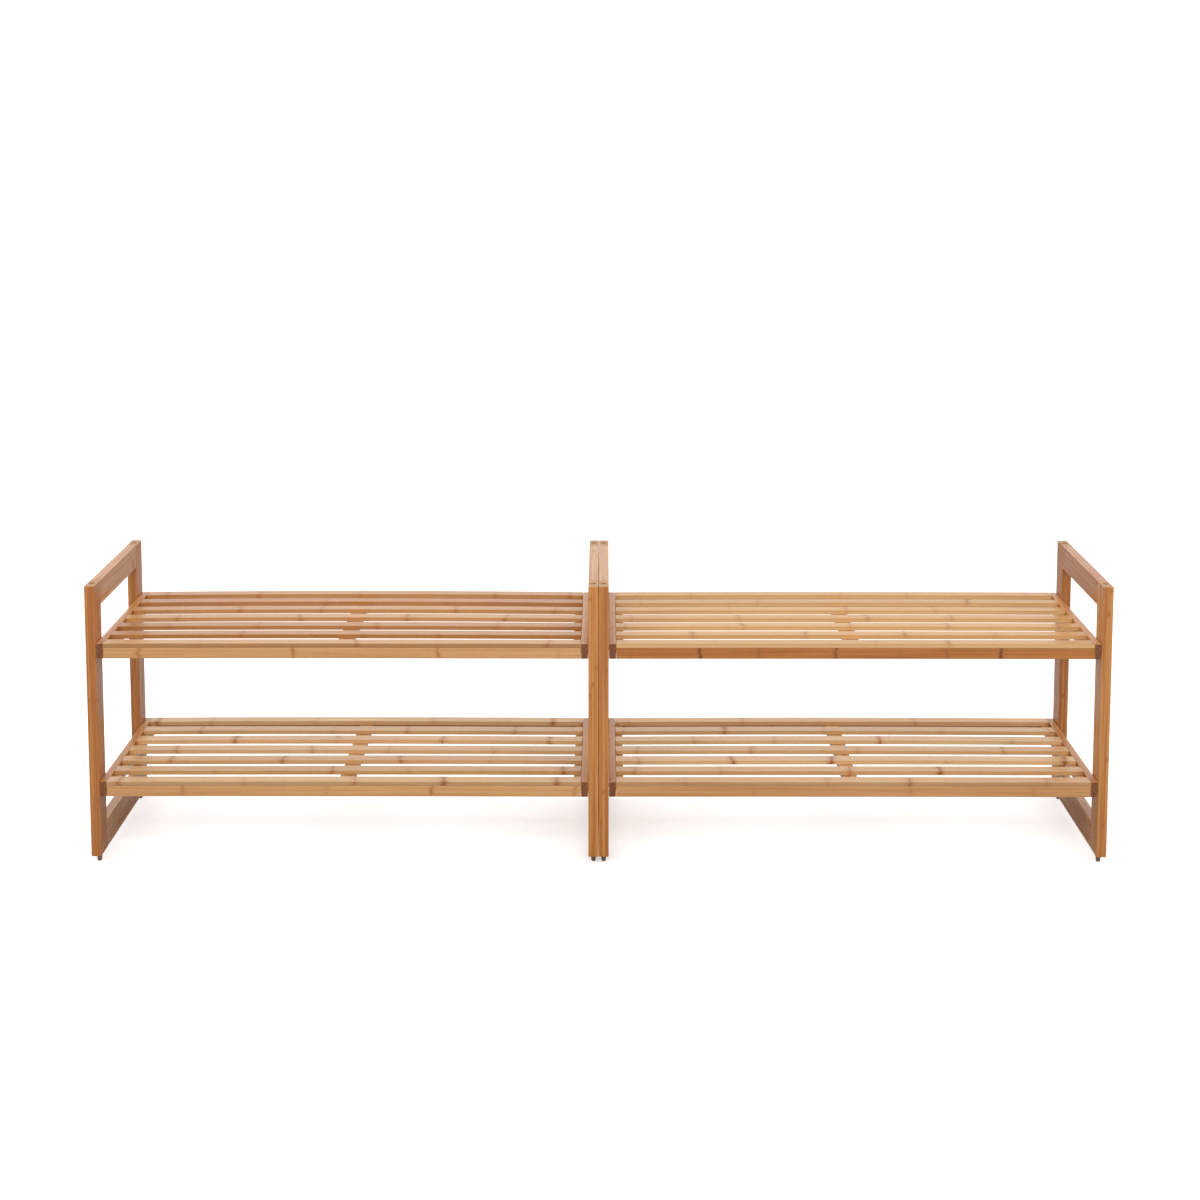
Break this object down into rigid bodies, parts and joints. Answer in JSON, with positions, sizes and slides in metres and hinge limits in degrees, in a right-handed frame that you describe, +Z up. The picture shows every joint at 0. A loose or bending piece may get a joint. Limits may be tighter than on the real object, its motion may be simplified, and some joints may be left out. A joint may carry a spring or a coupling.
{
  "type": "entryway bench",
  "caption": "Low entryway bench made of slatted bamboo racks side by side, with open end frames, slatted shelves and stacking pins.",
  "frame": {"origin": "on the floor, in the middle of the pair of racks", "axes": "+Z up, +X along the pair to the viewer's right, the front faces -Y"},
  "size_m": [1.7266, 0.33, 0.485],
  "materials": {
    "frame_bamboo": "laminated bamboo posts and rails under a satin clear lacquer",
    "side_rail_bamboo": "laminated bamboo, darker at the end grain, satin clear lacquer",
    "beam_bamboo": "laminated bamboo, honey brown, satin clear lacquer",
    "slat_bamboo": "single bamboo strips with their nodes showing, pale, satin clear lacquer",
    "bar_bamboo": "laminated bamboo, in shade under the slats, satin clear lacquer"
  },
  "bodies": {
    "root": {"left_rack_left_back_post": "frame_bamboo", "left_rack_left_bottom_rail": "frame_bamboo", "left_rack_left_front_post": "frame_bamboo", "left_rack_left_top_rail": "frame_bamboo", "left_rack_lower_back_beam": "beam_bamboo", "left_rack_lower_centre_bar": "bar_bamboo", "left_rack_lower_front_beam": "beam_bamboo", "left_rack_lower_left_side_rail": "side_rail_bamboo", "left_rack_lower_right_side_rail": "side_rail_bamboo", "left_rack_lower_slat_1": "slat_bamboo", "left_rack_lower_slat_2": "slat_bamboo", "left_rack_lower_slat_3": "slat_bamboo", "left_rack_lower_slat_4": "slat_bamboo", "left_rack_lower_slat_5": "slat_bamboo", "left_rack_lower_slat_6": "slat_bamboo", "left_rack_right_back_post": "frame_bamboo", "left_rack_right_bottom_rail": "frame_bamboo", "left_rack_right_front_post": "frame_bamboo", "left_rack_right_top_rail": "frame_bamboo", "left_rack_upper_back_beam": "beam_bamboo", "left_rack_upper_centre_bar": "bar_bamboo", "left_rack_upper_front_beam": "beam_bamboo", "left_rack_upper_left_side_rail": "side_rail_bamboo", "left_rack_upper_right_side_rail": "side_rail_bamboo", "left_rack_upper_slat_1": "slat_bamboo", "left_rack_upper_slat_2": "slat_bamboo", "left_rack_upper_slat_3": "slat_bamboo", "left_rack_upper_slat_4": "slat_bamboo", "left_rack_upper_slat_5": "slat_bamboo", "left_rack_upper_slat_6": "slat_bamboo", "right_rack_left_back_post": "frame_bamboo", "right_rack_left_bottom_rail": "frame_bamboo", "right_rack_left_front_post": "frame_bamboo", "right_rack_left_top_rail": "frame_bamboo", "right_rack_lower_back_beam": "beam_bamboo", "right_rack_lower_centre_bar": "bar_bamboo", "right_rack_lower_front_beam": "beam_bamboo", "right_rack_lower_left_side_rail": "side_rail_bamboo", "right_rack_lower_right_side_rail": "side_rail_bamboo", "right_rack_lower_slat_1": "slat_bamboo", "right_rack_lower_slat_2": "slat_bamboo", "right_rack_lower_slat_3": "slat_bamboo", "right_rack_lower_slat_4": "slat_bamboo", "right_rack_lower_slat_5": "slat_bamboo", "right_rack_lower_slat_6": "slat_bamboo", "right_rack_right_back_post": "frame_bamboo", "right_rack_right_bottom_rail": "frame_bamboo", "right_rack_right_front_post": "frame_bamboo", "right_rack_right_top_rail": "frame_bamboo", "right_rack_upper_back_beam": "beam_bamboo", "right_rack_upper_centre_bar": "bar_bamboo", "right_rack_upper_front_beam": "beam_bamboo", "right_rack_upper_left_side_rail": "side_rail_bamboo", "right_rack_upper_right_side_rail": "side_rail_bamboo", "right_rack_upper_slat_1": "slat_bamboo", "right_rack_upper_slat_2": "slat_bamboo", "right_rack_upper_slat_3": "slat_bamboo", "right_rack_upper_slat_4": "slat_bamboo", "right_rack_upper_slat_5": "slat_bamboo", "right_rack_upper_slat_6": "slat_bamboo"}
  },
  "joints": []
}
